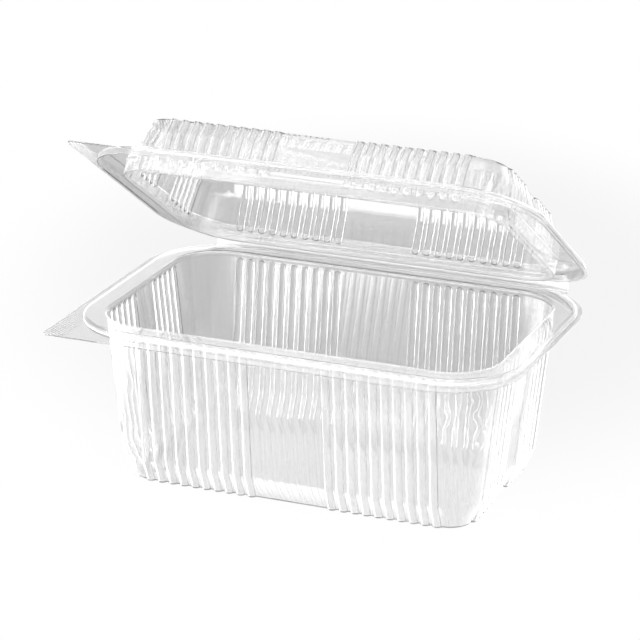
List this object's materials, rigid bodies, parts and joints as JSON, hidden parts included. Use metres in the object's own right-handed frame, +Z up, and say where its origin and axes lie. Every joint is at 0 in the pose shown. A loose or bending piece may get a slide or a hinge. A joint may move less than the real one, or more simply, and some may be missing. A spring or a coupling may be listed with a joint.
{
  "type": "hinged plastic container",
  "caption": "Clear thin-walled container: fluted rectangular tub with a raised rim, flat flange with corner tab, and a fluted domed lid on a live hinge.",
  "frame": {"origin": "centre of the flat base's underside, below the centre of the tub's mouth", "axes": "+X along the hinge to the right as seen from the opening lip, +Y towards the hinge at the back, +Z up"},
  "size_m": [0.1964, 0.14, 0.1496],
  "materials": {
    "clear_pet": "clear, glossy formed PET sheet"
  },
  "bodies": {
    "tub": {"tub_shell": "clear_pet", "tub_rim": "clear_pet", "tub_flange": "clear_pet"},
    "strip": {"hinge_strip": "clear_pet"},
    "lid": {"lid_rim": "clear_pet", "lid_flange": "clear_pet", "lid_shell": "clear_pet"}
  },
  "joints": [
    {"name": "tub_crease", "type": "hinge", "parent": "tub", "child": "strip", "pos_m": [0, 0.068, 0.06775], "axis": [1, 0, 0], "range_deg": [-73.6, 16.4]},
    {"name": "lid_crease", "type": "hinge", "parent": "strip", "child": "lid", "pos_m": [0, 0.06943, 0.0726], "axis": [1, 0, 0], "range_deg": [-73.6, 16.4]}
  ],
  "couplings": [
    {"joint": "tub_crease", "follows": "lid_crease", "ratio": 1}
  ]
}
